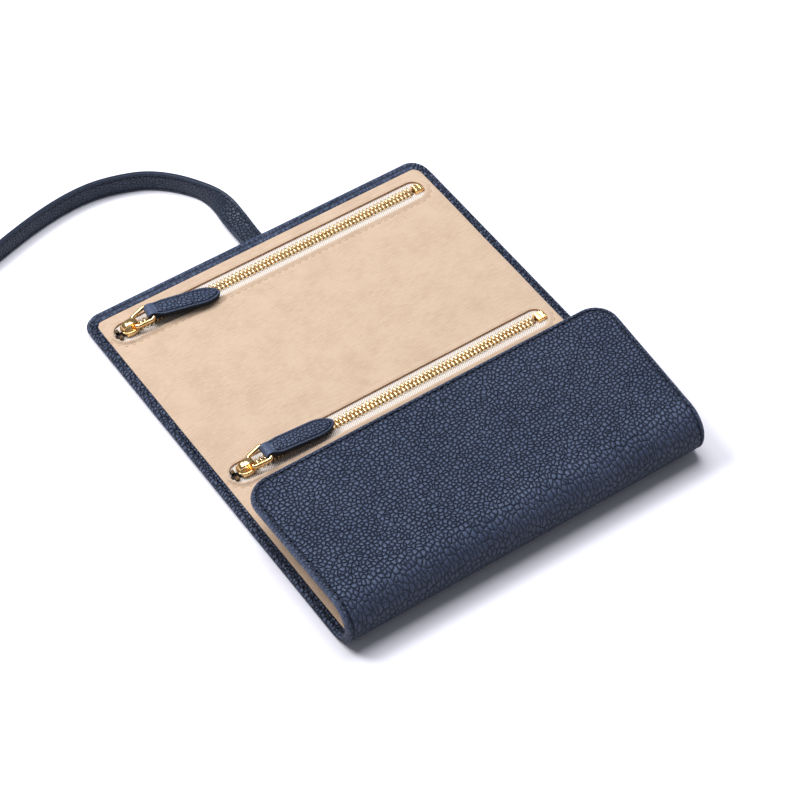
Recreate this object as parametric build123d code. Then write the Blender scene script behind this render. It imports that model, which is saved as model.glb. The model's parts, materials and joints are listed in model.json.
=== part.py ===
"""Trifold leather travel roll: three flat panels and two folds, two zipped pockets and a wrap strap.

Millimetres, +Z up. X runs along the zips, Y from the front fold to the far edge, and Z = 0 is the table.
The roll lies open with its front flap still folded over the middle panel.
"""

import os
from math import cos, radians, sin, tan

from build123d import *

# ---------------------------------------------------------------- driving dimensions
WIDTH = 180.0                 # along the zips
FAR_EDGE = 106.5              # free edge of the top panel
FOLD_RADIUS = 13.0            # outer radius of the front fold
FOLD_Y = -FAR_EDGE + FOLD_RADIUS
FLAP_EDGE = -27.5             # free edge of the folded flap
MIDDLE_REAR = 7.0             # crease between the middle panel and the rear fold strip
TOP_FRONT = 47.0              # crease between the rear fold strip and the top panel
CREASE_GAP = 0.3              # clearance on each side of a crease

LEATHER = 1.4                 # outer leather
THICKNESS = 4.0               # whole sandwich, leather to lining
STIFFENER_TOP = 2.2
POCKET_BACK_TOP = 2.5
TAPE_LOW = 2.6
LINING_LOW = 3.0
BORDER = 4.5                  # turned leather edge around the lining
FAR_CORNER = 8.0
FLAP_CORNER = 12.0

FOLD_END_ANGLE = 39.0         # part of the fold that stays with each panel
SPINE_HALF_ANGLE = 39.0       # half of the part that turns on its own

ZIP_1_Y = 89.3
ZIP_2_Y = -5.5
SLOT_LENGTH = 163.0
SLOT_WIDTH = 11.0
SLOT_X = -0.5
TAPE_HALF_LENGTH = 84.0
TAPE_INNER = 0.9
TAPE_OUTER = 10.0

TOOTH_PITCH = 2.0
TOOTH_COUNT = 75
FIRST_TOOTH_X = -75.5
TOOTH_SIZE = (0.85, 2.5, 1.6)
TOOTH_REACH = 0.35            # how far a tooth passes the centre line
STOP_X = 78.0
STOP_SIZE = (5.0, 5.0, 1.9)
TOP_STOP_X = -80.1
TOP_STOP_SIZE = 1.6

SLIDER_X = -74.3
SLIDER_LENGTH = 9.0
SLIDER_WIDTH = 7.2
SLIDER_LOW = 4.8
SLIDER_PLATE = 1.0
FLANGE_LOW = 3.3
FLANGE_LENGTH = 6.0
CROWN_LENGTH = 8.4
CROWN_HEIGHT = 3.6
CROWN_BAND = 0.8
CROWN_WIDTH = 3.2

PIVOT_X = -72.4
PIVOT_Z = 7.0
BAIL_LENGTH = 8.8
BAIL_BACK = 2.9               # half width at the slider
BAIL_FRONT = 4.5              # half width at the pull tab
BAIL_CORNER = 1.2
BAIL_WIRE = 0.75
BAIL_LIFT = 12.5              # degrees above level

TAB_LENGTH = 33.0
TAB_ROOT = 3.4                # half widths
TAB_WIDE = 4.7
TAB_WIDE_AT = 23.0
TAB_THICKNESS = 2.8
TAB_LOOP = 2.2
TAB_BORE = 1.0
TAB_DROOP = 5.0
TAB_1_YAW = -9.0
TAB_2_YAW = -1.0

STRAP_WIDTH = 11.0
STRAP_THICKNESS = 2.2
STRAP_X = -1.0
TONGUE_LOW = 1.4
TONGUE_INSIDE = 4.2
TONGUE_END = 112.0
STRAP_FLOOR = 0.2             # lower edge of the strap where it stands on edge
STRAP_ROUTE = [
    (STRAP_X, TONGUE_END),
    (STRAP_X, 137.7),
    (-17.6, 160.6),
    (-38.0, 169.0),
    (-56.0, 170.9),
    (-80.0, 167.2),
    (-112.0, 157.5),
    (-140.0, 151.5),
]
COIL_TURN_RADIUS = 57.0       # outer turn of the coil
COIL_OUTER = 58.6
COIL_INNER = 50.0

OVERSIZE = 50.0


# ---------------------------------------------------------------- helpers
def on_arc(radius, angle):
    """A point of the front fold, in the (Y, Z) plane."""
    turn = radians(angle)
    return (FOLD_Y + radius * cos(turn), FOLD_RADIUS + radius * sin(turn))


def extrude_along_x(face, half_width):
    placed = Plane.YZ.offset(-half_width) * face
    return extrude(placed, amount=2 * half_width, dir=(1, 0, 0))


def panel_profile(low, high, rear, end_angle):
    """A flat layer that runs into the start of the front fold."""
    outer = FOLD_RADIUS - low
    inner = FOLD_RADIUS - high
    last = 270.0 - end_angle
    edges = [
        Line((rear, low), (FOLD_Y, low)),
        CenterArc((FOLD_Y, FOLD_RADIUS), outer, 270.0, -end_angle),
        Line(on_arc(outer, last), on_arc(inner, last)),
        CenterArc((FOLD_Y, FOLD_RADIUS), inner, last, end_angle),
        Line((FOLD_Y, high), (rear, high)),
        Line((rear, high), (rear, low)),
    ]
    return make_face(edges)


def spine_profile(low, high):
    """The middle stretch of the front fold, a plain arc."""
    outer = FOLD_RADIUS - low
    inner = FOLD_RADIUS - high
    first = 180.0 - SPINE_HALF_ANGLE
    sweep_angle = 2 * SPINE_HALF_ANGLE
    last = first + sweep_angle
    edges = [
        CenterArc((FOLD_Y, FOLD_RADIUS), outer, first, sweep_angle),
        Line(on_arc(outer, last), on_arc(inner, last)),
        CenterArc((FOLD_Y, FOLD_RADIUS), inner, last, -sweep_angle),
        Line(on_arc(inner, first), on_arc(outer, first)),
    ]
    return make_face(edges)


def slab(low, high, front, rear, half_width):
    depth = rear - front
    centre = Pos(0, (front + rear) / 2, (low + high) / 2)
    return centre * Box(2 * half_width, depth, high - low)


def rounded_prism(rear, half_width, corner):
    """A tall block with its two rear corners rounded, open-ended towards the front."""
    depth = 2 * FAR_EDGE + OVERSIZE
    centre = Pos(0, rear - depth / 2, -OVERSIZE)
    return extrude(centre * RectangleRounded(2 * half_width, depth, corner), amount=2 * OVERSIZE)


def slot_cutter(y):
    centre = Pos(SLOT_X, y, 0)
    return extrude(centre * SlotOverall(SLOT_LENGTH, SLOT_WIDTH), amount=2 * THICKNESS)


def over_fold(shape):
    """Mirrors a layer of the middle panel into the flap above it."""
    return mirror(shape, about=Plane.XY.offset(FOLD_RADIUS))


def write(name, shape):
    export_step(shape, "parts/" + name + ".step")


# ---------------------------------------------------------------- panels
HALF = WIDTH / 2
INNER_HALF = HALF - BORDER


def bent_layer(low, high, rear, half_width):
    return extrude_along_x(panel_profile(low, high, rear, FOLD_END_ANGLE), half_width)


def side_strips(make_layer):
    """The two borders left when the narrower lining is taken from a full-width layer."""
    return make_layer(HALF) - make_layer(INNER_HALF)


def make_middle_panel():
    rear = MIDDLE_REAR - CREASE_GAP
    slot = slot_cutter(ZIP_2_Y)
    lining = bent_layer(LINING_LOW, THICKNESS, rear, INNER_HALF) - slot
    write("middle_outer_leather", bent_layer(0, LEATHER, rear, HALF))
    write("middle_stiffener", bent_layer(LEATHER, STIFFENER_TOP, rear, INNER_HALF))
    write("middle_pocket_back", slab(STIFFENER_TOP, POCKET_BACK_TOP, FOLD_Y, rear, INNER_HALF))
    write("middle_lining", lining)
    write("middle_border", side_strips(lambda half: bent_layer(LEATHER, THICKNESS, rear, half)))


def make_front_spine():
    write("spine_outer_leather", extrude_along_x(spine_profile(0, LEATHER), HALF))
    write("spine_stiffener", extrude_along_x(spine_profile(LEATHER, LINING_LOW), INNER_HALF))
    write("spine_lining", extrude_along_x(spine_profile(LINING_LOW, THICKNESS), INNER_HALF))
    profile = spine_profile(LEATHER, THICKNESS)
    write("spine_border", side_strips(lambda half: extrude_along_x(profile, half)))


def make_flap():
    outline = rounded_prism(FLAP_EDGE, HALF, FLAP_CORNER)
    inner = rounded_prism(FLAP_EDGE - BORDER, INNER_HALF, FLAP_CORNER - BORDER)
    leather = bent_layer(0, LEATHER, FLAP_EDGE, HALF) & outline
    stiffener = bent_layer(LEATHER, LINING_LOW, FLAP_EDGE, HALF) & inner
    lining = bent_layer(LINING_LOW, THICKNESS, FLAP_EDGE, HALF) & inner
    border = (bent_layer(LEATHER, THICKNESS, FLAP_EDGE, HALF) & outline) - inner
    write("flap_outer_leather", over_fold(leather))
    write("flap_stiffener", over_fold(stiffener))
    write("flap_lining", over_fold(lining))
    write("flap_border", over_fold(border))


def make_rear_strip():
    front = MIDDLE_REAR + CREASE_GAP
    rear = TOP_FRONT - CREASE_GAP
    write("rear_outer_leather", slab(0, LEATHER, front, rear, HALF))
    write("rear_stiffener", slab(LEATHER, LINING_LOW, front, rear, INNER_HALF))
    write("rear_lining", slab(LINING_LOW, THICKNESS, front, rear, INNER_HALF))
    write("rear_border", side_strips(lambda half: slab(LEATHER, THICKNESS, front, rear, half)))


def tongue_inside():
    """The end of the strap that is sewn into the far border."""
    centre_y = FAR_EDGE - TONGUE_INSIDE / 2
    centre_z = TONGUE_LOW + STRAP_THICKNESS / 2
    return Pos(STRAP_X, centre_y, centre_z) * Box(STRAP_WIDTH, TONGUE_INSIDE, STRAP_THICKNESS)


def make_top_panel():
    front = TOP_FRONT + CREASE_GAP
    outline = rounded_prism(FAR_EDGE, HALF, FAR_CORNER)
    inner = rounded_prism(FAR_EDGE - BORDER, INNER_HALF, FAR_CORNER - BORDER)
    border = (slab(LEATHER, THICKNESS, front, FAR_EDGE, HALF) & outline) - inner
    lining = (slab(LINING_LOW, THICKNESS, front, FAR_EDGE, HALF) & inner) - slot_cutter(ZIP_1_Y)
    write("top_outer_leather", slab(0, LEATHER, front, FAR_EDGE, HALF) & outline)
    write("top_stiffener", slab(LEATHER, STIFFENER_TOP, front, FAR_EDGE, HALF) & inner)
    write("top_pocket_back", slab(STIFFENER_TOP, POCKET_BACK_TOP, front, FAR_EDGE, HALF) & inner)
    write("top_lining", lining)
    write("top_border", border - tongue_inside())


# ---------------------------------------------------------------- zips
def make_zip(number, y):
    write(f"zip_{number}_tapes", make_tapes(y))
    write(f"zip_{number}_teeth", make_teeth(y))
    write(f"zip_{number}_bottom_stop", make_bottom_stop(y))
    write(f"zip_{number}_top_stops", make_top_stops(y))


def make_tapes(y):
    width = TAPE_OUTER - TAPE_INNER
    offset = (TAPE_OUTER + TAPE_INNER) / 2
    height = LINING_LOW - TAPE_LOW
    tape = Box(2 * TAPE_HALF_LENGTH, width, height)
    centre_z = TAPE_LOW + height / 2
    return Compound([Pos(0, y + side * offset, centre_z) * tape for side in (-1, 1)])


def make_teeth(y):
    """Teeth of the two sides, interleaved half a pitch apart."""
    length, depth, height = TOOTH_SIZE
    tooth = Box(length, depth, height)
    centre_z = LINING_LOW + height / 2
    teeth = []
    for side in (-1, 1):
        centre_y = y + side * (depth / 2 - TOOTH_REACH)
        first_x = FIRST_TOOTH_X + (TOOTH_PITCH / 2 if side > 0 else 0)
        for index in range(TOOTH_COUNT):
            teeth.append(Pos(first_x + index * TOOTH_PITCH, centre_y, centre_z) * tooth)
    return Compound(teeth)


def make_bottom_stop(y):
    block = Box(*STOP_SIZE)
    block = fillet(block.edges().filter_by(Axis.Z), radius=0.6)
    return Pos(STOP_X, y, LINING_LOW + STOP_SIZE[2] / 2) * block


def make_top_stops(y):
    block = Box(TOP_STOP_SIZE, TOP_STOP_SIZE, TOP_STOP_SIZE)
    centre_z = LINING_LOW + TOP_STOP_SIZE / 2
    return Compound([Pos(TOP_STOP_X, y + side * 2.0, centre_z) * block for side in (-1, 1)])


# ---------------------------------------------------------------- sliders and pulls
def make_slider_body(y):
    plate_top = SLIDER_LOW + SLIDER_PLATE
    plate_outline = RectangleRounded(SLIDER_LENGTH, SLIDER_WIDTH, SLIDER_WIDTH / 2 - 0.4)
    plate = extrude(Pos(SLIDER_X, y, SLIDER_LOW) * plate_outline, amount=SLIDER_PLATE)
    plate = fillet(plate.edges().filter_by_position(Axis.Z, plate_top, plate_top), radius=0.35)
    flange_height = SLIDER_LOW - FLANGE_LOW
    flange = Box(FLANGE_LENGTH, 0.8, flange_height)
    centre_z = FLANGE_LOW + flange_height / 2
    sides = [Pos(SLIDER_X, y + side * (SLIDER_WIDTH / 2 - 0.5), centre_z) * flange for side in (-1, 1)]
    return plate + sides


def make_crown(y):
    """An arched band over the slider plate, with room under it for the bail."""
    base = SLIDER_LOW + SLIDER_PLATE
    outer = Ellipse(CROWN_LENGTH / 2, CROWN_HEIGHT)
    inner = Ellipse(CROWN_LENGTH / 2 - CROWN_BAND, CROWN_HEIGHT - CROWN_BAND)
    upper_half = Pos(0, CROWN_HEIGHT) * Rectangle(2 * CROWN_LENGTH, 2 * CROWN_HEIGHT)
    arch = (outer - inner) & upper_half
    placed = Plane((SLIDER_X, y, base), x_dir=(1, 0, 0), z_dir=(0, -1, 0)) * arch
    return extrude(placed, amount=CROWN_WIDTH / 2, both=True)


def bail_frame(y):
    return Pos(PIVOT_X, y, PIVOT_Z) * Rot(0, -BAIL_LIFT, 0)


def make_bail(y):
    corners = [(0, -BAIL_BACK), (0, BAIL_BACK), (BAIL_LENGTH, BAIL_FRONT), (BAIL_LENGTH, -BAIL_FRONT)]
    path = FilletPolyline(*corners, close=True, radius=BAIL_CORNER)
    section = Plane(origin=path @ 0, z_dir=path % 0) * Circle(BAIL_WIRE)
    return bail_frame(y) * sweep(section, path=path)


def bar_centre():
    """Where the bail's front bar lies, in X and Z."""
    lift = radians(BAIL_LIFT)
    return PIVOT_X + BAIL_LENGTH * cos(lift), PIVOT_Z + BAIL_LENGTH * sin(lift)


def make_pull_tab(y, yaw):
    """A leather strip folded round the bail's bar, with an ogive tip."""
    bar_x, bar_z = bar_centre()
    edges = [
        Line((0, -TAB_ROOT), (0, TAB_ROOT)),
        Line((0, TAB_ROOT), (TAB_WIDE_AT, TAB_WIDE)),
        ThreePointArc((TAB_WIDE_AT, TAB_WIDE), (TAB_LENGTH - 3.0, 3.2), (TAB_LENGTH, 0)),
        ThreePointArc((TAB_LENGTH, 0), (TAB_LENGTH - 3.0, -3.2), (TAB_WIDE_AT, -TAB_WIDE)),
        Line((TAB_WIDE_AT, -TAB_WIDE), (0, -TAB_ROOT)),
    ]
    blade = extrude(make_face(edges), amount=TAB_THICKNESS / 2, both=True)
    loop = Rot(90, 0, 0) * Cylinder(TAB_LOOP, 2 * TAB_ROOT)
    bore = Rot(90, 0, 0) * Cylinder(TAB_BORE, 4 * TAB_ROOT)
    body = Rot(0, TAB_DROOP, 0) * Rot(0, 0, yaw) * blade
    return Pos(bar_x, y, bar_z) * (body + loop - bore)


def make_slider(number, y, yaw):
    write(f"slider_{number}_body", make_slider_body(y))
    write(f"slider_{number}_crown", make_crown(y))
    write(f"pull_bail_{number}", make_bail(y))
    write(f"pull_tab_{number}", make_pull_tab(y, yaw))


# ---------------------------------------------------------------- wrap strap
def heading(start, end):
    return Vector(end[0] - start[0], end[1] - start[1], 0)


def corner_radii(route):
    """Each bend is as large as 0.45 of its shorter run allows."""
    radii = []
    for before, corner, after in zip(route, route[1:], route[2:]):
        first = heading(before, corner)
        second = heading(corner, after)
        half_turn = radians(first.get_angle(second) / 2)
        radii.append(0.45 * min(first.length, second.length) / tan(half_turn))
    return radii


def make_strap_run():
    radii = corner_radii(STRAP_ROUTE)
    print("strap bend radii", [round(radius) for radius in radii])
    path = FilletPolyline(*STRAP_ROUTE, radius=radii)
    face = trace(path, STRAP_THICKNESS)
    run = extrude(Pos(0, 0, STRAP_FLOOR) * face, amount=STRAP_WIDTH, dir=(0, 0, 1))
    expected = path.length * STRAP_THICKNESS * STRAP_WIDTH
    print("strap run", round(path.length, 1), "mm, volume ratio", round(run.volume / expected, 3))
    return run


def make_strap_coil():
    """The outer shape of the strap's single wound turn, tangent to the end of the run."""
    end = Vector(*STRAP_ROUTE[-1])
    along = heading(STRAP_ROUTE[-2], STRAP_ROUTE[-1]).normalized()
    centre = end + along.rotate(Axis.Z, -90) * COIL_TURN_RADIUS
    print("coil centre", round(centre.X, 1), round(centre.Y, 1))
    ring = Circle(COIL_OUTER) - Circle(COIL_INNER)
    return extrude(Pos(centre.X, centre.Y, STRAP_FLOOR) * ring, amount=STRAP_WIDTH)


def make_strap():
    outside = TONGUE_END - FAR_EDGE
    centre_z = TONGUE_LOW + STRAP_THICKNESS / 2
    tongue = Pos(STRAP_X, FAR_EDGE + outside / 2, centre_z) * Box(STRAP_WIDTH, outside, STRAP_THICKNESS)
    run = make_strap_run()
    write("strap_tongue", tongue + tongue_inside())
    write("strap_run", run)
    write("strap_coil", make_strap_coil() - run)


# ---------------------------------------------------------------- build
def main():
    os.makedirs("parts", exist_ok=True)
    make_middle_panel()
    make_front_spine()
    make_flap()
    make_rear_strip()
    make_top_panel()
    make_zip(1, ZIP_1_Y)
    make_zip(2, ZIP_2_Y)
    make_slider(1, ZIP_1_Y, TAB_1_YAW)
    make_slider(2, ZIP_2_Y, TAB_2_YAW)
    make_strap()


main()
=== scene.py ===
import json
import random
from math import acos, atan2, ceil, cos, hypot, pi, radians, sin, sqrt

import bmesh
import bpy
from mathutils import Matrix, Vector
from mathutils.geometry import delaunay_2d_cdt


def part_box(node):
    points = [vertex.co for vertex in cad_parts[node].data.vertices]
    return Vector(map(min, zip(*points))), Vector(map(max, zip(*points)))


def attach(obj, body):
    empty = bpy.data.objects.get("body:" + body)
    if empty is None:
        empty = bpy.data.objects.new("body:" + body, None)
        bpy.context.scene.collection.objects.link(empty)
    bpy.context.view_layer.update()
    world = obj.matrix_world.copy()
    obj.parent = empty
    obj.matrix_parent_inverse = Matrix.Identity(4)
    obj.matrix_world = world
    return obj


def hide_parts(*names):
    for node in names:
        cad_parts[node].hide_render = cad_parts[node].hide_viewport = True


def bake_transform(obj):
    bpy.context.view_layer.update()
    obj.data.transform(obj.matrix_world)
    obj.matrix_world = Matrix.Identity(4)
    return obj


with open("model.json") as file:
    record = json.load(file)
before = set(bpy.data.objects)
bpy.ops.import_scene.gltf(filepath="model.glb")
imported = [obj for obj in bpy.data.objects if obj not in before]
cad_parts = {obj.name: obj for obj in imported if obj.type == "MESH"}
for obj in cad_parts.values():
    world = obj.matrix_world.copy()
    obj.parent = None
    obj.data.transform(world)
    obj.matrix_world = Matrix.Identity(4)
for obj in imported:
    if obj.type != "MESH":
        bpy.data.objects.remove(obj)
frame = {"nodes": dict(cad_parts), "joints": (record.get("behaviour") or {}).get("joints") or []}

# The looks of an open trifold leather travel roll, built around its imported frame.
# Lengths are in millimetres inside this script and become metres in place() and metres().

MM = 0.001
random.seed(7)
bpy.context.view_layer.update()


# ---------------------------------------------------------------- sizes read from the frame
def box_mm(node):
    low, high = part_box(node)
    return [c / MM for c in low], [c / MM for c in high]


TOP_HIGH = box_mm("top_outer_leather")[1]
FLAP_HIGH = box_mm("flap_outer_leather")[1]
HALF = TOP_HIGH[0]                      # half width of the roll
FAR_Y = TOP_HIGH[1]                     # free edge of the top panel
HEIGHT = FLAP_HIGH[2]                   # top of the folded flap
FRONT_Y = box_mm("spine_outer_leather")[0][1]       # outermost line of the front fold
FOLD = HEIGHT / 2                       # outer radius of the front fold
THICK = box_mm("top_lining")[1][2]      # leather to lining
MID = FOLD - THICK / 2                  # radius of the sandwich's middle surface
FOLD_Y = FRONT_Y + FOLD                 # centre line of the fold
ARC = MID * pi / 2                      # quarter of the fold along the middle surface
FLAP_EDGE_S = -(ARC + FLAP_HIGH[1] - FOLD_Y)
FAR_S = ARC + FAR_Y - FOLD_Y
JOINTS = {j["name"]: j for j in frame["joints"]}
MIDDLE_CREASE_Y = JOINTS["rear_fold_lower"]["pos_m"][1] / MM
TOP_CREASE_Y = JOINTS["rear_fold_upper"]["pos_m"][1] / MM


def s_of_y(y):
    """Distance along the unrolled sheet from the outermost line of the fold, for a point on the table."""
    return ARC + y - FOLD_Y


FRONT_SEAM_S = s_of_y(-60.0)            # hidden under the flap
REAR_SEAM_S = s_of_y((MIDDLE_CREASE_Y + TOP_CREASE_Y) / 2)
FAR_CORNER = 8.0
FLAP_CORNER = 12.0
FLAP_SKEW = 1.9                         # the flap's free edge has slid this far to the right
FLAP_FLARE = 2.8                        # and spreads this far past the fold at each side
BORDER = 4.5
FAR_BORDER = 5.9                        # the border is wider along the far edge
STITCH_INSET = 2.7
INNER_STITCH_INSET = STITCH_INSET - 0.3
FOLD_SHADE = 0.85                       # painted shade: how much darker the leather is painted on the front fold, which faces away from the lights

ZIP_Y = {number: sum(corner[1] for corner in box_mm(f"zip_{number}_teeth")) / 2 for number in (1, 2)}
SLOT_X = -0.5
SLOT_HALF = 81.5
SLOT_WIDE = 5.5


# ---------------------------------------------------------------- the sheet's shape
def slip(x, s):
    """Sideways shift of the flap, nothing at the fold and most at its free edge, where it also flares."""
    if s > -ARC:
        return 0.0
    along = (-ARC - s) / (-ARC - FLAP_EDGE_S)
    return along * (FLAP_SKEW + FLAP_FLARE * x / HALF)


def place(x, s, n):
    """A point of the sheet: x across, s along it from the fold, n outward from its middle surface."""
    run = abs(s)
    if run <= ARC:
        turn = run / MID
        y = FOLD_Y - (MID + n) * cos(turn)
        z = FOLD - (MID + n) * sin(turn)
    else:
        y = FOLD_Y + run - ARC
        z = THICK / 2 - n
    if s < 0:
        z = HEIGHT - z
    return Vector(((x + slip(x, s)) * MM, y * MM, z * MM))


def metres(*values):
    return Vector([v * MM for v in values])


def smooth_step(t):
    t = max(0.0, min(1.0, t))
    return t * t * (3 - 2 * t)


def bump(t, centre, width):
    """A round bump of height 1 at centre, gone at width either side."""
    gap = abs(t - centre) / width
    return 0.0 if gap >= 1 else (1 - gap * gap) ** 2


# ---------------------------------------------------------------- mesh helpers
QUAD = ((0, 0), (1, 0), (1, 1), (0, 1))


def add_to_scene(name, data):
    obj = bpy.data.objects.new(name, data)
    bpy.context.scene.collection.objects.link(obj)
    return obj


def new_object(name, verts, faces, *materials, solid=True, **attributes):
    """An object from points in metres. An attribute is a list of one number or vector per point."""
    mesh = bpy.data.meshes.new(name)
    mesh.from_pydata([tuple(v) for v in verts], [], faces)
    mesh.validate()
    for material in materials:
        mesh.materials.append(material)
    for key, values in attributes.items():
        if isinstance(values[0], tuple):
            flat = [c for v in values for c in v]
            mesh.attributes.new(key, "FLOAT_VECTOR", "POINT").data.foreach_set("vector", flat)
        else:
            mesh.attributes.new(key, "FLOAT", "POINT").data.foreach_set("value", values)
    if solid:
        face_outward(mesh)
    return add_to_scene(name, mesh)


def face_outward(data):
    """Smooths a closed mesh, turns its faces outward and keeps corners over 60 degrees crisp."""
    data.polygons.foreach_set("use_smooth", [True] * len(data.polygons))
    mesh = bmesh.new()
    mesh.from_mesh(data)
    bmesh.ops.recalc_face_normals(mesh, faces=mesh.faces)
    mesh.to_mesh(data)
    mesh.free()
    data.set_sharp_from_angle(angle=radians(60))


def settle(piece, body, slot, *stands_for):
    """Ties a piece to its body and hides the CAD nodes that it stands for, if any; its finish, slot, is not
    used.
    """
    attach(piece, body)
    if stands_for:
        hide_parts(*stands_for)


def bridge(first, second, count):
    """Quads between two rings of points, each given by the index of its first point."""
    return [[first + k, first + (k + 1) % count, second + (k + 1) % count, second + k] for k in range(count)]


def stacked_rings(name, rings, material, **attributes):
    """A closed solid through rings of points that all have the same count."""
    count = len(rings[0])
    last = (len(rings) - 1) * count
    faces = []
    for first in range(0, last, count):
        faces += bridge(first, first + count, count)
    faces += [list(range(count))[::-1], [last + k for k in range(count)]]
    return new_object(name, [p for ring in rings for p in ring], faces, material, **attributes)


def bmesh_parts(mesh):
    """The points and faces of a bmesh, which is freed."""
    parts = [v.co.copy() for v in mesh.verts], [[v.index for v in f.verts] for f in mesh.faces]
    mesh.free()
    return parts


def copies(name, template, places, material):
    """One mesh of many copies of a template. Each place is a function that moves a point of the template."""
    verts, faces = [], []
    for move in places:
        first = len(verts)
        verts += [move(v) for v in template[0]]
        faces += [[first + k for k in face] for face in template[1]]
    return new_object(name, verts, faces, material)


def spaced(low, high, step):
    count = max(1, ceil((high - low) / step))
    return [low + (high - low) * i / count for i in range(count + 1)]


# ---------------------------------------------------------------- materials
# near-black painted shade, used in the pebbles' creases, in the stitched grooves and on the front fold
NAVY_PAINTED_SHADE = (0.0014, 0.0024, 0.0085)
NAVY_BASE = (0.0420, 0.0580, 0.1080)
NAVY_WORN = (0.0570, 0.0750, 0.1340)
SUEDE_LIGHT = (0.590, 0.448, 0.338)
SUEDE_DEEP = (0.480, 0.350, 0.252)


class Surface:
    """A material of nodes round one shader, with short forms for adding and joining nodes."""

    def __init__(self, name):
        self.material = bpy.data.materials.new(name)
        self.material.use_nodes = True
        self.tree = self.material.node_tree
        self.tree.nodes.clear()
        self.shader = self.node("BsdfPrincipled")
        self.node("OutputMaterial", {"Surface": self.shader.outputs[0]})

    def node(self, kind, inputs=None, **settings):
        """A new node. inputs holds a value or another node's socket for each input that is set."""
        made = self.tree.nodes.new("ShaderNode" + kind)
        for key, value in settings.items():
            setattr(made, key, value)
        for key, value in (inputs or {}).items():
            self.put(made.inputs[key], value)
        return made

    def put(self, target, value):
        if isinstance(value, bpy.types.NodeSocket):
            self.tree.links.new(value, target)
        elif target.type == "RGBA":
            target.default_value = (*value, 1.0)
        else:
            target.default_value = value

    def set(self, name, value):
        self.put(self.shader.inputs[name], value)

    def point(self):
        return self.node("TexCoord").outputs["Object"]

    def attribute(self, name, output="Fac"):
        return self.node("Attribute", attribute_name=name).outputs[output]

    def math(self, operation, a, b=0.0, c=0.0):
        return self.node("Math", {0: a, 1: b, 2: c}, operation=operation).outputs[0]

    def vector_math(self, operation, a, b):
        return self.node("VectorMath", {0: a, 1: b}, operation=operation).outputs[0]

    def mapping(self, vector, scale=(1.0, 1.0, 1.0), turn=0.0):
        inputs = {"Vector": vector, "Rotation": (0, 0, radians(turn)), "Scale": scale}
        return self.node("Mapping", inputs).outputs[0]

    def ramp(self, value, low, dark, high, light):
        """Colour that goes from dark, where value is low, to light, where it is high."""
        made = self.node("ValToRGB", {0: value})
        for element, position, colour in zip(made.color_ramp.elements, (low, high), (dark, light)):
            element.position = position
            element.color = (*colour, 1.0)
        return made.outputs[0]

    def range(self, value, low, high, to_low=0.0, to_high=1.0):
        inputs = {"Value": value, "From Min": low, "From Max": high, "To Min": to_low, "To Max": to_high}
        return self.node("MapRange", inputs, interpolation_type="SMOOTHSTEP").outputs[0]

    def noise(self, vector, scale, detail=3.0, roughness=0.5, output="Fac"):
        inputs = {"Vector": vector, "Scale": scale, "Detail": detail, "Roughness": roughness}
        return self.node("TexNoise", inputs).outputs[output]

    def drift(self, vector, scale, detail, reach):
        """A smooth sideways shift, about reach across in all."""
        colour = self.noise(vector, scale, detail, output="Color")
        centred = self.vector_math("SUBTRACT", colour, (0.5, 0.5, 0.5))
        return self.vector_math("MULTIPLY", centred, (reach, reach, 0.0))

    def bands(self, vector, scale, distortion, direction):
        inputs = {"Vector": vector, "Scale": scale, "Distortion": distortion}
        return self.node("TexWave", inputs, bands_direction=direction).outputs["Fac"]

    def mix(self, factor, a, b):
        return self.node("Mix", {0: factor, 6: a, 7: b}, data_type="RGBA").outputs[2]

    def relief(self, height, distance, strength=1.0):
        inputs = {"Height": height, "Distance": distance, "Strength": strength}
        self.set("Normal", self.node("Bump", inputs).outputs[0])


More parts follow.
